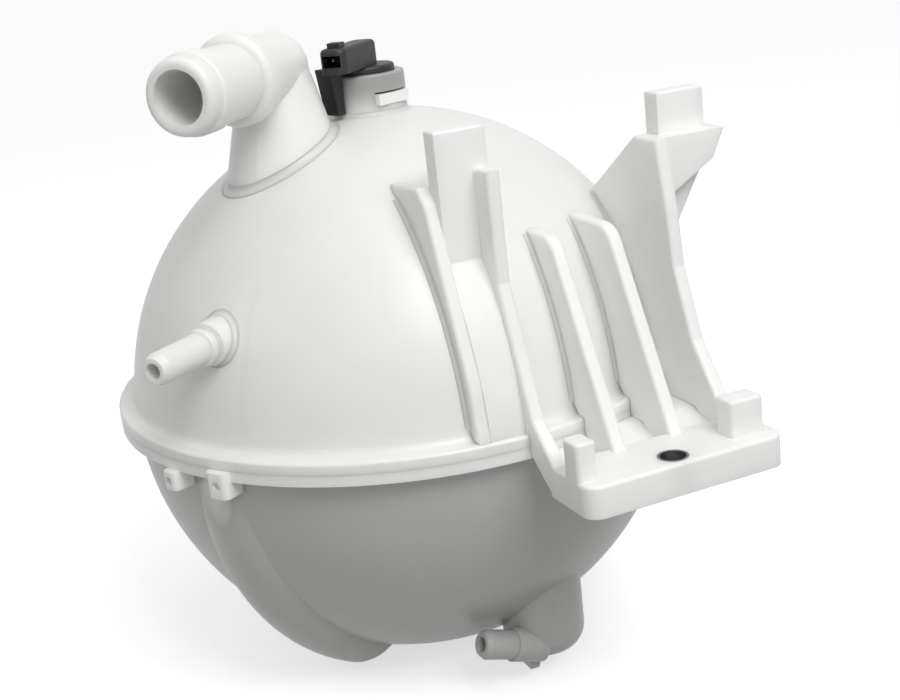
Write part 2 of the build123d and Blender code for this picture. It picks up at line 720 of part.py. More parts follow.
# Level sensor head: a round plug in the cup, with a connector box out to one side.
with BuildPart() as sensor_head:
    with BuildSketch(cup.offset(cup_seat_z)) as plug:
        Circle(plug_r)
    extrude(amount=plug_top_z - cup_seat_z)
    fillet(sensor_head.edges().group_by(Axis.Z)[-1], 1.0)
    with BuildSketch(cup.offset(boss_bottom_z)) as spigot:
        Circle(spigot_r)
    extrude(amount=cup_seat_z - boss_bottom_z)
    with BuildSketch(socket.offset(socket_bottom_z)) as socket_box:
        with Locations(((socket_x + socket_back_x) / 2, 0)):
            RectangleRounded(socket_x - socket_back_x, socket_w, 3)
    extrude(amount=socket_top_z - socket_bottom_z)
    fillet(sensor_head.edges().group_by(Axis.Z)[-1], 1.6)
    # Lock bump on the connector and the leg that reaches down beside the cup
    with BuildSketch(socket.offset(socket_top_z - 1)) as bump:
        with Locations((socket_x - 5, 0)):
            Rectangle(4, 4.4)
    extrude(amount=2.6)
    with BuildSketch(cup_side) as leg_face:
        with BuildLine():
            Polyline(
                (cup_r + 0.5, leg_bottom_z), (leg_bottom_x, leg_bottom_z),
                (leg_top_x, socket_bottom_z + 1), (cup_r + 0.5, socket_bottom_z + 1), close=True,
            )
        make_face()
    extrude(amount=leg_w / 2, both=True)
    # Groove for the seal, slots for the clip, holes for the stem, wires and pins
    with BuildSketch(cup.offset(groove_z)) as groove:
        Circle(plug_r + 1)
        Circle(groove_r, mode=Mode.SUBTRACT)
    extrude(amount=groove_h, mode=Mode.SUBTRACT)
    with BuildSketch(cup.offset(slot_bottom_z)) as slots:
        with Locations(((slot_inner + slot_outer) / 2, 0), (-(slot_inner + slot_outer) / 2, 0)):
            Rectangle(slot_outer - slot_inner, 3 * plug_r)
    extrude(amount=slot_h, mode=Mode.SUBTRACT)
    with BuildSketch(cup.offset(boss_bottom_z)) as stem_hole:
        Circle(stem_r)
    extrude(amount=stem_top_z - boss_bottom_z, mode=Mode.SUBTRACT)
    with BuildSketch(cup.offset(boss_bottom_z)) as wire_hole:
        Circle(stem_bore_r)
    extrude(amount=pin_z - boss_bottom_z, mode=Mode.SUBTRACT)
    with BuildSketch(socket.offset(pin_z + pin_t / 2 - cavity_h / 2)) as cavity:
        with Locations((socket_x - cavity_l / 2, 0)):
            Rectangle(cavity_l, cavity_w)
    extrude(amount=cavity_h, mode=Mode.SUBTRACT)
    with BuildSketch(socket.offset(pin_z)) as pin_holes:
        with Locations(((pin_in_x + pin_out_x) / 2, pin_y), ((pin_in_x + pin_out_x) / 2, -pin_y)):
            Rectangle(pin_out_x - pin_in_x, pin_t)
    extrude(amount=pin_t, mode=Mode.SUBTRACT)

sensor_head.part.label = "sensor_head"
export_step(sensor_head.part, "parts/sensor_head.step")

with BuildPart() as sensor_terminals:
    with BuildSketch(socket.offset(pin_z)) as pins:
        with Locations(((pin_in_x + pin_out_x) / 2, pin_y), ((pin_in_x + pin_out_x) / 2, -pin_y)):
            Rectangle(pin_out_x - pin_in_x, pin_t)
    extrude(amount=pin_t)

sensor_terminals.part.label = "sensor_terminals"
export_step(sensor_terminals.part, "parts/sensor_terminals.step")

with BuildPart() as sensor_o_ring:
    with Locations(cup.offset(groove_z + groove_h / 2)):
        Torus(groove_r + ring_section_r, ring_section_r - 0.01)

sensor_o_ring.part.label = "sensor_o_ring"
export_step(sensor_o_ring.part, "parts/sensor_o_ring.step")

# Clip: two legs pass both sides of the plug, joined by a bridge in one window.
clip_inner = clip_outer - clip_leg
with BuildPart() as sensor_clip:
    with BuildSketch(cup.offset(slot_bottom_z)) as clip_shape:
        with Locations(((clip_inner + clip_outer) / 2, 1.4), (-(clip_inner + clip_outer) / 2, 1.4)):
            Rectangle(clip_leg, 2 * (clip_front - 1.4))
        with Locations((0, clip_front - clip_bridge / 2)):
            Rectangle(2 * clip_outer, clip_bridge)
    extrude(amount=clip_t)

sensor_clip.part.label = "sensor_clip"
export_step(sensor_clip.part, "parts/sensor_clip.step")

# Stem of the sensor, closed at the bottom, with two stop rings for the float.
with BuildPart() as sensor_stem:
    with BuildSketch(cup.offset(stem_bottom_z)) as stem_ring:
        Circle(stem_r)
        Circle(stem_bore_r, mode=Mode.SUBTRACT)
    extrude(amount=stem_top_z - stem_bottom_z)
    for stop_z in (low_stop_z, high_stop_z):
        with BuildSketch(cup.offset(stop_z)) as stop_groove:
            Circle(stem_r + 1)
            Circle(stop_groove_r, mode=Mode.SUBTRACT)
        extrude(amount=stop_t, mode=Mode.SUBTRACT)

sensor_stem.part.label = "sensor_stem"
export_step(sensor_stem.part, "parts/sensor_stem.step")

with BuildPart() as float_stops:
    for stop_z in (low_stop_z, high_stop_z):
        with BuildSketch(cup.offset(stop_z)) as stop_ring:
            Circle(stop_r)
            Circle(stop_groove_r, mode=Mode.SUBTRACT)
            with Locations((stop_r, 0)):
                Rectangle(2 * stop_r, 3.4, mode=Mode.SUBTRACT)
        extrude(amount=stop_t)

float_stops.part.label = "float_stops"
export_step(float_stops.part, "parts/float_stops.step")

with BuildPart() as stem_end_plug:
    with BuildSketch(cup.offset(stem_bottom_z)) as end_round:
        Circle(stem_bore_r)
    extrude(amount=end_plug_l)

stem_end_plug.part.label = "stem_end_plug"
export_step(stem_end_plug.part, "parts/stem_end_plug.step")

with BuildPart() as reed_switch:
    with BuildSketch(cup.offset(reed_z - reed_l / 2)) as capsule:
        Circle(reed_r)
    extrude(amount=reed_l)
    fillet(reed_switch.edges().filter_by(GeomType.CIRCLE), 0.8)

reed_switch.part.label = "reed_switch"
export_step(reed_switch.part, "parts/reed_switch.step")

# Each wire starts at one end of the switch and rises to its pin.
cup_cross = Plane(origin=cup_at, x_dir=(-socket_dir[1], socket_dir[0], 0), z_dir=socket_dir)
with BuildPart() as reed_leads:
    for side in (1, -1):
        start_z = reed_z + side * reed_l / 2
        with BuildLine(cup_cross) as lead_path:
            FilletPolyline(
                (0, start_z), (0, start_z + side * 2), (side * pin_y, start_z + side * 2 + 0.6 * side + 1),
                (side * pin_y, pin_z), radius=0.4,
            )
        with BuildSketch(cup.offset(start_z)) as lead_round:
            Circle(lead_r)
        sweep(path=lead_path.wires()[0])

reed_leads.part.label = "reed_leads"
export_step(reed_leads.part, "parts/reed_leads.step")

with BuildPart() as stem_potting:
    with BuildSketch(cup.offset(stem_bottom_z + end_plug_l)) as potting_round:
        Circle(stem_bore_r)
    extrude(amount=potting_l)
    add(reed_switch.part, mode=Mode.SUBTRACT)
    add(reed_leads.part, mode=Mode.SUBTRACT)

stem_potting.part.label = "stem_potting"
export_step(stem_potting.part, "parts/stem_potting.step")

with BuildPart() as level_float:
    with BuildSketch(cup.offset(low_stop_z + stop_t)) as float_round:
        Circle(float_r)
    extrude(amount=float_h)
    fillet(level_float.edges().filter_by(GeomType.CIRCLE), 0.9)
    with BuildSketch(cup.offset(low_stop_z + stop_t)) as float_bore:
        Circle(float_bore_r)
    extrude(amount=float_h, mode=Mode.SUBTRACT)
    with BuildSketch(cup.offset(low_stop_z + stop_t + float_h)) as magnet_seat:
        Circle(magnet_out_r)
        Circle(magnet_in_r, mode=Mode.SUBTRACT)
    extrude(amount=-magnet_h, mode=Mode.SUBTRACT)

level_float.part.label = "level_float"
export_step(level_float.part, "parts/level_float.step")

with BuildPart() as float_magnet:
    with BuildSketch(cup.offset(low_stop_z + stop_t + float_h)) as magnet_ring:
        Circle(magnet_out_r)
        Circle(magnet_in_r, mode=Mode.SUBTRACT)
    extrude(amount=-magnet_h)

float_magnet.part.label = "float_magnet"
export_step(float_magnet.part, "parts/float_magnet.step")
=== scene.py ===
import math
import bmesh
import bpy
from mathutils import Matrix, Vector


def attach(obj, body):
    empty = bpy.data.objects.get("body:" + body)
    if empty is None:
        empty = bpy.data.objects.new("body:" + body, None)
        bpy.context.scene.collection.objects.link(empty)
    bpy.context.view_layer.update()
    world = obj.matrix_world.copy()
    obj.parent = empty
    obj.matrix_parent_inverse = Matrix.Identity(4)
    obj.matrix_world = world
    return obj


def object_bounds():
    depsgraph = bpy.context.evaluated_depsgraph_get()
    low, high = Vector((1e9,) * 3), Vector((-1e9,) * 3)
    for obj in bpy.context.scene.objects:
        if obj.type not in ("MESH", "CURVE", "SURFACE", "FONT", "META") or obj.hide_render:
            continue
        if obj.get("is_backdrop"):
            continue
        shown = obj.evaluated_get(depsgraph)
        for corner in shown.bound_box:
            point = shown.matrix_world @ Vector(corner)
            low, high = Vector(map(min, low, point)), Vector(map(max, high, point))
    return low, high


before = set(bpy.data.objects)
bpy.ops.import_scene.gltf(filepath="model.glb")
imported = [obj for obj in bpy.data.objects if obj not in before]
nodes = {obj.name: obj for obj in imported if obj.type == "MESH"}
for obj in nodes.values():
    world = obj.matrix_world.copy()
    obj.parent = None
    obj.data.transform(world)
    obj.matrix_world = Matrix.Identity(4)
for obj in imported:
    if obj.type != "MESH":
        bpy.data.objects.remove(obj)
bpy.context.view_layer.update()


# Tank: two halves of natural polypropylene, injection moulded and hot-plate welded
# at the flange. The plastic is milky and a little see-through, with a satin skin.
# Places below are measured from the centre of the ball.
ball = Vector((-0.1287, -0.0305, -0.0012))
cup_foot = Vector((-0.0024, 0.0, 0.0))


def srgb(code):
    """An sRGB hex colour as linear red, green, blue and alpha."""
    parts = [int(code[i:i + 2], 16) / 255 for i in (1, 3, 5)]
    return [c / 12.92 if c <= 0.04045 else ((c + 0.055) / 1.055) ** 2.4 for c in parts] + [1.0]


def add_node(tree, kind, values=None, links=None, **settings):
    """Adds one node, sets its properties and sockets, and links other sockets to it."""
    made = tree.nodes.new(kind)
    for name, value in settings.items():
        setattr(made, name, value)
    for name, value in (values or {}).items():
        made.inputs[name].default_value = value
    for name, source in (links or {}).items():
        tree.links.new(source, made.inputs[name])
    return made


def new_material(name, **values):
    """A material with one Principled shader; returns the material, its tree and the shader."""
    material = bpy.data.materials.new(name)
    material.use_nodes = True
    shader = material.node_tree.nodes["Principled BSDF"]
    for socket, value in values.items():
        shader.inputs[socket.replace("_", " ")].default_value = value
    return material, material.node_tree, shader


def natural_plastic(name, light, dark, roughness, dome=False, bowl=False):
    """Milky polypropylene: cloudy tone about 30 mm across, flow marks, fine spark-eroded grain.

    The cloud and the flow marks break up the shine; the grain keeps it satin. A dome also shows the black
    plug through the cup and the baffles through the wall; a bowl gets painted light, paler at its flange
    against the shade there.
    """
    material, tree, shader = new_material(name, IOR=1.49, Subsurface_Weight=0.4, Subsurface_Scale=0.006,
                                          Subsurface_Radius=(1.0, 1.0, 1.0))
    place = add_node(tree, "ShaderNodeTexCoord").outputs["Object"]
    cloud = add_node(tree, "ShaderNodeTexNoise", {"Scale": 33.0, "Detail": 4.0, "Roughness": 0.55},
                     {"Vector": place})
    tone = add_node(tree, "ShaderNodeMixRGB", {"Color1": srgb(dark), "Color2": srgb(light)},
                    {"Fac": cloud.outputs["Fac"]})
    colour = tone.outputs["Color"]
    if dome:
        # The black plug shows through the wall of the cup and greys it, most at the top.
        centred = add_node(tree, "ShaderNodeVectorMath", {1: ball}, {0: place}, operation="SUBTRACT")
        from_cup = add_node(tree, "ShaderNodeVectorMath", {1: cup_foot},
                            {0: centred.outputs["Vector"]}, operation="SUBTRACT")
        level = add_node(tree, "ShaderNodeVectorMath", {1: (1.0, 1.0, 0.0)},
                         {0: from_cup.outputs["Vector"]}, operation="MULTIPLY")
        radius = add_node(tree, "ShaderNodeVectorMath", links={0: level.outputs["Vector"]},
                          operation="LENGTH")
        in_cup = add_node(tree, "ShaderNodeMapRange",
                          {"From Min": 0.0134, "From Max": 0.0137, "To Min": 1.0, "To Max": 0.0},
                          {"Value": radius.outputs["Value"]})
        rise = add_node(tree, "ShaderNodeSeparateXYZ", links={"Vector": centred.outputs["Vector"]})
        grey = add_node(tree, "ShaderNodeMapRange",
                        {"From Min": 0.0935, "From Max": 0.104, "To Min": 0.15, "To Max": 0.85},
                        {"Value": rise.outputs["Z"]}, interpolation_type="SMOOTHSTEP")
        shown = add_node(tree, "ShaderNodeMath",
                         links={0: in_cup.outputs["Result"], 1: grey.outputs["Result"]}, operation="MULTIPLY")
        shaded = add_node(tree, "ShaderNodeMixRGB", {"Color2": srgb("#8F8F8D")},
                          {"Fac": shown.outputs[0], "Color1": colour})
        colour = shaded.outputs["Color"]
        # The baffles inside show through the wall as faint lines on two upright planes.
        lines = []
        for azimuth in (37.0, 127.0):
            across = (-math.sin(math.radians(azimuth)), math.cos(math.radians(azimuth)), 0.0)
            off = add_node(tree, "ShaderNodeVectorMath", {1: across}, {0: centred.outputs["Vector"]},
                           operation="DOT_PRODUCT")
            near = add_node(tree, "ShaderNodeMath", links={0: off.outputs["Value"]}, operation="ABSOLUTE")
            lines.append(add_node(
                tree, "ShaderNodeMapRange",
                {"From Min": 0.0004, "From Max": 0.0022, "To Min": 1.0, "To Max": 0.0},
                {"Value": near.outputs[0]}, interpolation_type="SMOOTHSTEP").outputs["Result"])
        both = add_node(tree, "ShaderNodeMath", links={0: lines[0], 1: lines[1]}, operation="MAXIMUM")
        height = add_node(tree, "ShaderNodeSeparateXYZ", links={"Vector": centred.outputs["Vector"]})
        reach = add_node(tree, "ShaderNodeMapRange",
                         {"From Min": 0.057, "From Max": 0.050, "To Min": 0.0, "To Max": 0.16},
                         {"Value": height.outputs["Z"]})
        shown = add_node(tree, "ShaderNodeMath", links={0: both.outputs[0], 1: reach.outputs["Result"]},
                         operation="MULTIPLY")
        lined = add_node(tree, "ShaderNodeMixRGB", {"Color2": srgb("#D6D6D2")},
                         {"Fac": shown.outputs[0], "Color1": colour})
        colour = lined.outputs["Color"]
    if bowl:
        # Painted light: the flange and lugs of the grey half, which lie outside the hollow, are painted paler
        # to offset the shade that falls under the upper flange.
        centred = add_node(tree, "ShaderNodeVectorMath", {1: ball}, {0: place}, operation="SUBTRACT")
        level = add_node(tree, "ShaderNodeVectorMath", {1: (1.0, 1.0, 0.0)},
                         {0: centred.outputs["Vector"]}, operation="MULTIPLY")
        radius = add_node(tree, "ShaderNodeVectorMath", links={0: level.outputs["Vector"]},
                          operation="LENGTH")
        flange_light_mask = add_node(tree, "ShaderNodeMapRange", {"From Min": 0.0952, "From Max": 0.0962},
                       {"Value": radius.outputs["Value"]})
        paler = add_node(tree, "ShaderNodeMixRGB", {"Color2": srgb("#F2F2F0")},
                         {"Fac": flange_light_mask.outputs["Result"], "Color1": colour})
        colour = paler.outputs["Color"]
    tree.links.new(colour, shader.inputs["Base Color"])
    flow = add_node(tree, "ShaderNodeTexNoise", {"Scale": 120.0, "Detail": 2.0}, {"Vector": place})
    gloss = add_node(tree, "ShaderNodeMapRange",
                     {"To Min": roughness - 0.05, "To Max": roughness + 0.07}, {"Value": flow.outputs["Fac"]})
    tree.links.new(gloss.outputs["Result"], shader.inputs["Roughness"])
    # Grain of the mould, 0.6 mm, drawn coarser than the real 0.2 mm so that it shows.
    grain = add_node(tree, "ShaderNodeTexNoise", {"Scale": 1600.0, "Detail": 2.0}, {"Vector": place})
    wave = add_node(tree, "ShaderNodeTexNoise", {"Scale": 25.0, "Detail": 1.0}, {"Vector": place})
    soft = add_node(tree, "ShaderNodeBump", {"Strength": 0.25, "Distance": 0.0012},
                    {"Height": wave.outputs["Fac"]})
    bump = add_node(tree, "ShaderNodeBump", {"Strength": 0.12, "Distance": 0.0001},
                    {"Height": grain.outputs["Fac"], "Normal": soft.outputs["Normal"]})
    tree.links.new(bump.outputs["Normal"], shader.inputs["Normal"])
    return material


def dress(name, material):
    """Gives a CAD node one material."""
    nodes[name].data.materials.clear()
    nodes[name].data.materials.append(material)


upper_plastic = natural_plastic("moulded_polypropylene_upper", "#EFEFEC", "#E6E6E3", 0.34, dome=True)
# The lower half is drawn greyer all over than the upper half.
lower_plastic = natural_plastic("moulded_polypropylene_lower", "#BCBCBA", "#B2B2B0", 0.36, bowl=True)
dress("upper_shell", upper_plastic)
dress("lower_shell", lower_plastic)


# Gooseneck: hose neck of the same polypropylene, moulded with the upper half, with a
# bead that holds the hose and a collar that stops it.
neck_plastic = natural_plastic("moulded_polypropylene_neck", "#F1F1EE", "#E9E9E6", 0.32)
dress("filler_neck", neck_plastic)


# Bracket: ribs, posts and bolt shelf of the same polypropylene, thinner, so paler.
bracket_plastic = natural_plastic("moulded_polypropylene_bracket", "#F3F3F1", "#EAEAE8", 0.38)
dress("mounting_bracket", bracket_plastic)


# Moulded roots: soft hollow fillets, 1.2 to 2.2 mm, where neck, cup, nipple and ribs grow
# out of the dome. They are of the dome's own plastic and moulded with it.
dome_r = 0.095
sunk_depth = 0.0006
ring_points = 120
rib_steps = 40
root_kinds = ("Neck root radius", "Cup root radius", "Nipple root radius", "Rib root radius")
root_sizes = (0.0022, 0.0012, 0.0016, 0.0013)
arc_steps = 8


def dome_corner(start, wall_dir, away):
    """Slides a point along the wall to the dome: returns it, and the way along dome and wall."""
    along = start.dot(wall_dir)
    reach = math.sqrt(along * along - start.length_squared + dome_r * dome_r) - along
    corner = start + wall_dir * reach
    normal = corner.normalized()
    return corner, (away - normal * away.dot(normal)).normalized(), wall_dir


# Lines where the walls meet the dome: kind, corners, and whether the line is a ring
turn = [math.tau * i / ring_points for i in range(ring_points)]
up_z = Vector((0.0, 0.0, 1.0))
root_lines = []
# Foot of the gooseneck, a cone that leans in by a quarter of its height
neck_foot = Vector((0.0051, -0.0343, 0.062))
neck_foot_r = 0.0244
neck_lean = 0.249
corners = []
for a in turn:
    outward = Vector((math.cos(a), math.sin(a), 0.0))
    wall = (up_z - outward * neck_lean).normalized()
    corners.append(dome_corner(neck_foot + outward * neck_foot_r, wall, outward))
root_lines.append((0, corners, True))
# Foot of the sensor cup
cup_r = 0.0131
corners = []
for a in turn:
    outward = Vector((math.cos(a), math.sin(a), 0.0))
    corners.append(dome_corner(cup_foot + outward * cup_r, up_z, outward))
root_lines.append((1, corners, True))
# Foot of the vent nipple
vent_azimuth = math.radians(-53.0)
vent_end = Vector((0.061, -0.0998, 0.0402))
vent_boss_r = 0.0068
vent_inside = 0.05
vent_dir = Vector((math.cos(vent_azimuth), math.sin(vent_azimuth), 0.0))
vent_side = Vector((-vent_dir.y, vent_dir.x, 0.0))
corners = []
for a in turn:
    outward = vent_side * math.cos(a) + up_z * math.sin(a)
    start = vent_end - vent_dir * vent_inside + outward * vent_boss_r
    corners.append(dome_corner(start, vent_dir, outward))
root_lines.append((2, corners, True))
# Both sides of each rib: distance along the bracket, side, lowest and highest point, in mm
for y, rib_side, low, high in ((-16.65, -1, 10.9, 75.0), (3.95, 1, 10.9, 61.0), (18.48, -1, 10.9, 60.0),
                               (22.98, 1, 10.9, 60.0), (38.01, -1, 10.9, 60.0), (42.51, 1, 10.9, 60.0),
                               (57.54, -1, 10.9, 61.5), (62.04, 1, 10.9, 58.0), (69.4, -1, 39.5, 52.5),
                               (72.6, 1, 39.5, 52.0), (78.4, -1, 32.0, 44.0), (81.6, 1, 32.0, 43.0)):
    y, low, high = y / 1000, low / 1000, high / 1000
    ring_r = math.sqrt(dome_r * dome_r - y * y)
    corners = []
    for i in range(rib_steps + 1):
        z = low + (high - low) * i / rib_steps
        point = Vector((math.sqrt(ring_r * ring_r - z * z), y, z))
        wall = Vector((point.x, 0.0, point.z)).normalized()
        corners.append(dome_corner(point - wall * 0.002, wall, Vector((0.0, rib_side, 0.0))))
    root_lines.append((3, corners, False))

# One mesh of edges, which carries the two ways and the kind of root at each point
points, edges, dome_ways, wall_ways, kinds = [], [], [], [], []
for kind, corners, ring in root_lines:
    first = len(points)
    for corner, along_dome, along_wall in corners:
        points.append(ball + corner)
        dome_ways.append(along_dome)
        wall_ways.append(along_wall)
        kinds.append(kind)
    edges += [(i, i + 1) for i in range(first, len(points) - 1)]
    if ring:
        edges.append((len(points) - 1, first))
line_mesh = bpy.data.meshes.new("root_lines")
line_mesh.from_pydata(points, edges, [])
for name, ways in (("corner", points), ("dome_way", dome_ways), ("wall_way", wall_ways)):
    stored = line_mesh.attributes.new(name, "FLOAT_VECTOR", "POINT")
    stored.data.foreach_set("vector", [c for way in ways for c in way])
line_mesh.attributes.new("kind", "INT", "POINT").data.foreach_set("value", kinds)
line_object = bpy.data.objects.new("root_lines", line_mesh)
bpy.context.scene.collection.objects.link(line_object)

# Geometry Nodes: a hollow profile follows each line, tangent to the dome and to the wall.
tree = bpy.data.node_groups.new("moulded_root", "GeometryNodeTree")
tree.interface.new_socket("Geometry", in_out="INPUT", socket_type="NodeSocketGeometry")
tree.interface.new_socket("Geometry", in_out="OUTPUT", socket_type="NodeSocketGeometry")
size_sockets = [tree.interface.new_socket(name, in_out="INPUT", socket_type="NodeSocketFloat")
                for name in root_kinds + ("Depth in the wall",)]
material_socket = tree.interface.new_socket("Material", in_out="INPUT", socket_type="NodeSocketMaterial")
given = add_node(tree, "NodeGroupInput").outputs


def stored_value(name, kind):
    """Reads an attribute of the lines or of the profile."""
    made = add_node(tree, "GeometryNodeInputNamedAttribute", {"Name": name}, data_type=kind)
    return made.outputs["Attribute"]


def number(operation, first, second, clamp=False):
    """One sum of two numbers, each of them a socket or a plain value."""
    made = add_node(tree, "ShaderNodeMath", operation=operation, use_clamp=clamp)
    for i, value in enumerate((first, second)):
        if isinstance(value, float):
            made.inputs[i].default_value = value
        else:
            tree.links.new(value, made.inputs[i])
    return made.outputs[0]


radius = add_node(tree, "GeometryNodeIndexSwitch", data_type="FLOAT")
while len(radius.index_switch_items) < len(root_kinds):
    radius.index_switch_items.new()
tree.links.new(stored_value("kind", "INT"), radius.inputs["Index"])
for i, name in enumerate(root_kinds):
    tree.links.new(given[name], radius.inputs[str(i)])
loop = add_node(tree, "GeometryNodeMeshCircle", {"Vertices": arc_steps + 2})
numbered = add_node(tree, "GeometryNodeStoreNamedAttribute", {"Name": "step"},
                    {"Geometry": loop.outputs["Mesh"],
                     "Value": add_node(tree, "GeometryNodeInputIndex").outputs["Index"]}, data_type="FLOAT")
profile = add_node(tree, "GeometryNodeMeshToCurve", links={"Mesh": numbered.outputs["Geometry"]})
path = add_node(tree, "GeometryNodeMeshToCurve", links={"Mesh": given["Geometry"]})
strip = add_node(tree, "GeometryNodeCurveToMesh", {"Fill Caps": True},
                 {"Curve": path.outputs["Curve"], "Profile Curve": profile.outputs["Curve"]})
# Steps 0 to 8 run along the hollow face; the last one lies inside the wall.
step = stored_value("step", "FLOAT")
inside = number("GREATER_THAN", step, arc_steps + 0.5)
share = number("DIVIDE", step, float(arc_steps), clamp=True)
rest = number("SUBTRACT", 1.0, share)
sunk = number("MULTIPLY", inside, given["Depth in the wall"])
place = stored_value("corner", "FLOAT_VECTOR")
for way, weight in (("dome_way", number("MULTIPLY", rest, rest)),
                    ("wall_way", number("SUBTRACT", number("MULTIPLY", share, share), inside))):
    length = number("SUBTRACT", number("MULTIPLY", radius.outputs["Output"], weight), sunk)
    moved = add_node(tree, "ShaderNodeVectorMath",
                     links={0: stored_value(way, "FLOAT_VECTOR"), "Scale": length}, operation="SCALE")
    place = add_node(tree, "ShaderNodeVectorMath", links={0: place, 1: moved.outputs["Vector"]},
                     operation="ADD").outputs["Vector"]
shaped = add_node(tree, "GeometryNodeSetPosition",
                  links={"Geometry": strip.outputs["Mesh"], "Position": place})
smooth = add_node(tree, "GeometryNodeSetShadeSmooth", links={"Geometry": shaped.outputs["Geometry"]})
real = add_node(tree, "GeometryNodeRealizeInstances", links={"Geometry": smooth.outputs["Geometry"]})
coloured = add_node(tree, "GeometryNodeSetMaterial",
                    links={"Geometry": real.outputs["Geometry"], "Material": given["Material"]})
add_node(tree, "NodeGroupOutput", links={"Geometry": coloured.outputs["Geometry"]})
growth = line_object.modifiers.new("moulded_root", "NODES")
growth.node_group = tree
for size_socket, value in zip(size_sockets, root_sizes + (sunk_depth,)):
    growth[size_socket.identifier] = value
growth[material_socket.identifier] = bracket_plastic
grown = line_object.evaluated_get(bpy.context.evaluated_depsgraph_get())
root_mesh = bpy.data.meshes.new_from_object(grown)
root_mesh.name = "moulded_roots"
line_object.modifiers.remove(growth)
bpy.data.objects.remove(line_object)
tidied = bmesh.new()
tidied.from_mesh(root_mesh)
bmesh.ops.recalc_face_normals(tidied, faces=tidied.faces)
tidied.to_mesh(root_mesh)
tidied.free()
moulded_roots = bpy.data.objects.new("moulded_roots", root_mesh)
bpy.context.scene.collection.objects.link(moulded_roots)
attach(moulded_roots, "bottle")


# Bolt sleeve: rolled steel tube, zinc plated, pressed into the shelf.
zinc, tree, shader = new_material("zinc_plated_steel", Metallic=1.0, Roughness=0.35)
place = add_node(tree, "ShaderNodeTexCoord").outputs["Object"]
spangle = add_node(tree, "ShaderNodeTexNoise", {"Scale": 700.0, "Detail": 3.0}, {"Vector": place})
tone = add_node(tree, "ShaderNodeMixRGB", {"Color1": srgb("#7E8184"), "Color2": srgb("#A3A6A8")},
                {"Fac": spangle.outputs["Fac"]})
tree.links.new(tone.outputs["Color"], shader.inputs["Base Color"])
dress("bolt_sleeve", zinc)
dress("float_stops", zinc)


# Level sensor: black glass-filled nylon plug with a side connector, moulded, satin.
nylon, tree, shader = new_material("moulded_black_nylon", IOR=1.53)
place = add_node(tree, "ShaderNodeTexCoord").outputs["Object"]
fibre = add_node(tree, "ShaderNodeTexNoise", {"Scale": 900.0, "Detail": 4.0}, {"Vector": place})
tone = add_node(tree, "ShaderNodeMixRGB", {"Color1": srgb("#0B0B0C"), "Color2": srgb("#161617")},
                {"Fac": fibre.outputs["Fac"]})
tree.links.new(tone.outputs["Color"], shader.inputs["Base Color"])
gloss = add_node(tree, "ShaderNodeMapRange", {"To Min": 0.42, "To Max": 0.58},
                 {"Value": fibre.outputs["Fac"]})
tree.links.new(gloss.outputs["Result"], shader.inputs["Roughness"])
bump = add_node(tree, "ShaderNodeBump", {"Strength": 0.2, "Distance": 0.00008},
                {"Height": fibre.outputs["Fac"]})
tree.links.new(bump.outputs["Normal"], shader.inputs["Normal"])
for name in ("sensor_head", "sensor_stem", "stem_end_plug"):
    dress(name, nylon)


# Clip: U-shaped locking clip of white acetal, pushed through the windows of the cup.
acetal, tree, shader = new_material("moulded_white_acetal", IOR=1.48)
place = add_node(tree, "ShaderNodeTexCoord").outputs["Object"]
mottle = add_node(tree, "ShaderNodeTexNoise", {"Scale": 500.0, "Detail": 2.0}, {"Vector": place})
tone = add_node(tree, "ShaderNodeMixRGB", {"Color1": srgb("#EDEDEB"), "Color2": srgb("#F7F7F6")},
                {"Fac": mottle.outputs["Fac"]})
tree.links.new(tone.outputs["Color"], shader.inputs["Base Color"])
gloss = add_node(tree, "ShaderNodeMapRange", {"To Min": 0.25, "To Max": 0.35},
                 {"Value": mottle.outputs["Fac"]})
tree.links.new(gloss.outputs["Result"], shader.inputs["Roughness"])
dress("sensor_clip", acetal)


# Seal: moulded nitrile ring, matt black.
rubber, tree, shader = new_material("moulded_nitrile_rubber", IOR=1.52, Roughness=0.7)
place = add_node(tree, "ShaderNodeTexCoord").outputs["Object"]
bloom = add_node(tree, "ShaderNodeTexNoise", {"Scale": 800.0, "Detail": 3.0}, {"Vector": place})
tone = add_node(tree, "ShaderNodeMixRGB", {"Color1": srgb("#111111"), "Color2": srgb("#1D1D1C")},
                {"Fac": bloom.outputs["Fac"]})
tree.links.new(tone.outputs["Color"], shader.inputs["Base Color"])
dress("sensor_o_ring", rubber)


# Terminals and switch wires: brass strip and copper wire, tin plated.
tin, tree, shader = new_material("tinned_brass", Metallic=1.0, Roughness=0.3)
place = add_node(tree, "ShaderNodeTexCoord").outputs["Object"]
stain = add_node(tree, "ShaderNodeTexNoise", {"Scale": 1200.0, "Detail": 2.0}, {"Vector": place})
tone = add_node(tree, "ShaderNodeMixRGB", {"Color1": srgb("#B9B5A8"), "Color2": srgb("#D2CFC6")},
                {"Fac": stain.outputs["Fac"]})
tree.links.new(tone.outputs["Color"], shader.inputs["Base Color"])
dress("sensor_terminals", tin)
dress("reed_leads", tin)


# Float: closed-cell nitrile foam, with a ring magnet of sintered ferrite let into it.
foam, tree, shader = new_material("closed_cell_foam", IOR=1.5, Roughness=0.8)
place = add_node(tree, "ShaderNodeTexCoord").outputs["Object"]
cells = add_node(tree, "ShaderNodeTexVoronoi", {"Scale": 1500.0}, {"Vector": place})
tone = add_node(tree, "ShaderNodeMixRGB", {"Color1": srgb("#1A1A1C"), "Color2": srgb("#2C2C2F")},
                {"Fac": cells.outputs["Distance"]})
tree.links.new(tone.outputs["Color"], shader.inputs["Base Color"])
bump = add_node(tree, "ShaderNodeBump", {"Strength": 0.5, "Distance": 0.0001},
                {"Height": cells.outputs["Distance"]})
tree.links.new(bump.outputs["Normal"], shader.inputs["Normal"])
dress("level_float", foam)

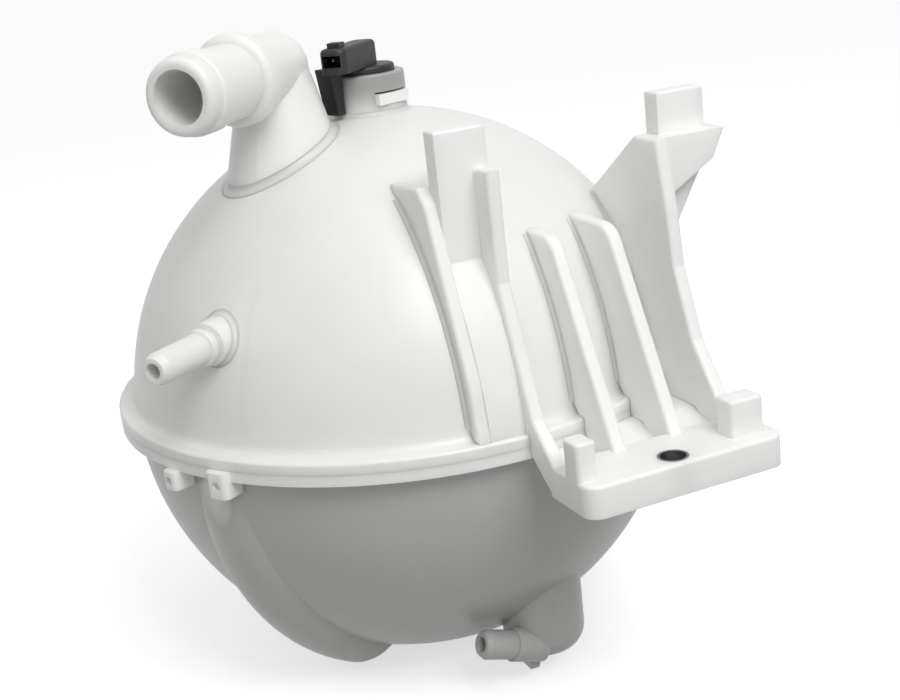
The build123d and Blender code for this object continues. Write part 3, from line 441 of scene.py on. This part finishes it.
ferrite, tree, shader = new_material("sintered_ferrite", IOR=2.0, Roughness=0.55)
place = add_node(tree, "ShaderNodeTexCoord").outputs["Object"]
grit = add_node(tree, "ShaderNodeTexNoise", {"Scale": 2500.0, "Detail": 2.0}, {"Vector": place})
tone = add_node(tree, "ShaderNodeMixRGB", {"Color1": srgb("#232324"), "Color2": srgb("#353536")},
                {"Fac": grit.outputs["Fac"]})
tree.links.new(tone.outputs["Color"], shader.inputs["Base Color"])
dress("float_magnet", ferrite)


# Reed switch: drawn glass capsule, potted in dark epoxy inside the stem.
glass, tree, shader = new_material("drawn_glass", IOR=1.52, Roughness=0.05, Transmission_Weight=0.6)
place = add_node(tree, "ShaderNodeTexCoord").outputs["Object"]
tint = add_node(tree, "ShaderNodeTexNoise", {"Scale": 300.0}, {"Vector": place})
tone = add_node(tree, "ShaderNodeMixRGB", {"Color1": srgb("#A9C4B8"), "Color2": srgb("#BFD6CB")},
                {"Fac": tint.outputs["Fac"]})
tree.links.new(tone.outputs["Color"], shader.inputs["Base Color"])
dress("reed_switch", glass)

epoxy, tree, shader = new_material("cast_epoxy", IOR=1.54, Roughness=0.4)
place = add_node(tree, "ShaderNodeTexCoord").outputs["Object"]
filler = add_node(tree, "ShaderNodeTexNoise", {"Scale": 1500.0, "Detail": 2.0}, {"Vector": place})
tone = add_node(tree, "ShaderNodeMixRGB", {"Color1": srgb("#1B1713"), "Color2": srgb("#2A241E")},
                {"Fac": filler.outputs["Fac"]})
tree.links.new(tone.outputs["Color"], shader.inputs["Base Color"])
dress("stem_potting", epoxy)


# Studio: pale floor and world, three large soft lamps, camera at the photograph's angle.
# The floor and the world look paler to the eye than the light that they give.
floor_gap = 0.0005
floor_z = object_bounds()[0].z - floor_gap
mesh = bmesh.new()
bmesh.ops.create_grid(mesh, x_segments=1, y_segments=1, size=30.0)
bmesh.ops.translate(mesh, vec=(0.0, 0.0, floor_z), verts=mesh.verts)
floor_mesh = bpy.data.meshes.new("floor")
mesh.to_mesh(floor_mesh)
mesh.free()
floor = bpy.data.objects.new("floor", floor_mesh)
bpy.context.scene.collection.objects.link(floor)
floor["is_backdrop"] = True
paper, tree, shader = new_material("white_paper", Roughness=0.9)
rays = add_node(tree, "ShaderNodeLightPath")
seen = add_node(tree, "ShaderNodeMath",
                links={0: rays.outputs["Is Camera Ray"], 1: rays.outputs["Is Glossy Ray"]},
                operation="MAXIMUM")
seen = add_node(tree, "ShaderNodeMath", links={0: seen.outputs[0], 1: rays.outputs["Is Transmission Ray"]},
                operation="MAXIMUM")
tone = add_node(tree, "ShaderNodeMixRGB", {"Color1": srgb("#9A9A9A"), "Color2": srgb("#D6D6D6")},
                {"Fac": seen.outputs[0]})
tree.links.new(tone.outputs["Color"], shader.inputs["Base Color"])
lift = add_node(tree, "ShaderNodeMath", {1: 0.62}, {0: seen.outputs[0]}, operation="MULTIPLY")
shader.inputs["Emission Color"].default_value = (1.0, 1.0, 1.0, 1.0)
tree.links.new(lift.outputs[0], shader.inputs["Emission Strength"])
floor_mesh.materials.append(paper)

world = bpy.data.worlds.new("studio")
bpy.context.scene.world = world
world.use_nodes = True
tree = world.node_tree
background = tree.nodes["Background"]
rays = add_node(tree, "ShaderNodeLightPath")
seen = add_node(tree, "ShaderNodeMath",
                links={0: rays.outputs["Is Camera Ray"], 1: rays.outputs["Is Glossy Ray"]},
                operation="MAXIMUM")
seen = add_node(tree, "ShaderNodeMath", links={0: seen.outputs[0], 1: rays.outputs["Is Transmission Ray"]},
                operation="MAXIMUM")
strength = add_node(tree, "ShaderNodeMapRange", {"To Min": 0.40, "To Max": 1.0}, {"Value": seen.outputs[0]})
background.inputs["Color"].default_value = (1.0, 1.0, 1.0, 1.0)
tree.links.new(strength.outputs["Result"], background.inputs["Strength"])


def soft_lamp(name, azimuth, elevation, distance, size, power):
    """A square lamp that faces the middle of the tank. Azimuth is measured from +X towards +Y."""
    lamp = bpy.data.lights.new(name, "AREA")
    lamp.size = size
    lamp.energy = power
    a, e = math.radians(azimuth), math.radians(elevation)
    away = Vector((math.cos(e) * math.cos(a), math.cos(e) * math.sin(a), math.sin(e)))
    made = bpy.data.objects.new(name, lamp)
    made.location = ball + away * distance
    made.rotation_mode = "QUATERNION"
    made.rotation_quaternion = (-away).to_track_quat("-Z", "Y")
    bpy.context.scene.collection.objects.link(made)


soft_lamp("key", 6.0, 46.0, 1.2, 0.6, 8.0)
soft_lamp("fill", -46.0, 14.0, 1.4, 0.9, 1.4)
soft_lamp("top", 40.0, 80.0, 1.3, 0.9, 2.0)

# Where the photograph was taken from: direction, tilt of the picture, distance and lens.
view_azimuth = math.radians(-22.18)
view_elevation = math.radians(18.02)
view_roll = math.radians(-6.62)
focal_px = 833.98
zoom = 1.75
picture_w = 900
back = Vector((math.cos(view_elevation) * math.cos(view_azimuth),
               math.cos(view_elevation) * math.sin(view_azimuth), math.sin(view_elevation)))
right = Vector((-math.sin(view_azimuth), math.cos(view_azimuth), 0.0))
up = back.cross(right)
tilted_right = right * math.cos(view_roll) + up * math.sin(view_roll)
tilted_up = -right * math.sin(view_roll) + up * math.cos(view_roll)
eye = ball + back * 0.52361 + tilted_right * 0.01424 + tilted_up * 0.00280
# The picture is centred on the bottle, 3 pixels right and 9 above the photograph's own axis.
aim = (tilted_right * 3.0 + tilted_up * 9.0 - back * focal_px).normalized()
side = aim.cross(tilted_up).normalized()
camera_data = bpy.data.cameras.new("camera")
camera_data.sensor_width = 36.0
camera_data.lens = focal_px * zoom / picture_w * camera_data.sensor_width
camera_data.clip_start = 0.01
camera = bpy.data.objects.new("camera", camera_data)
camera.matrix_world = Matrix.Translation(eye) @ Matrix((side, side.cross(aim), -aim)).transposed().to_4x4()
bpy.context.scene.collection.objects.link(camera)
bpy.context.scene.camera = camera
bpy.context.scene.view_settings.view_transform = "Standard"

low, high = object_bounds()
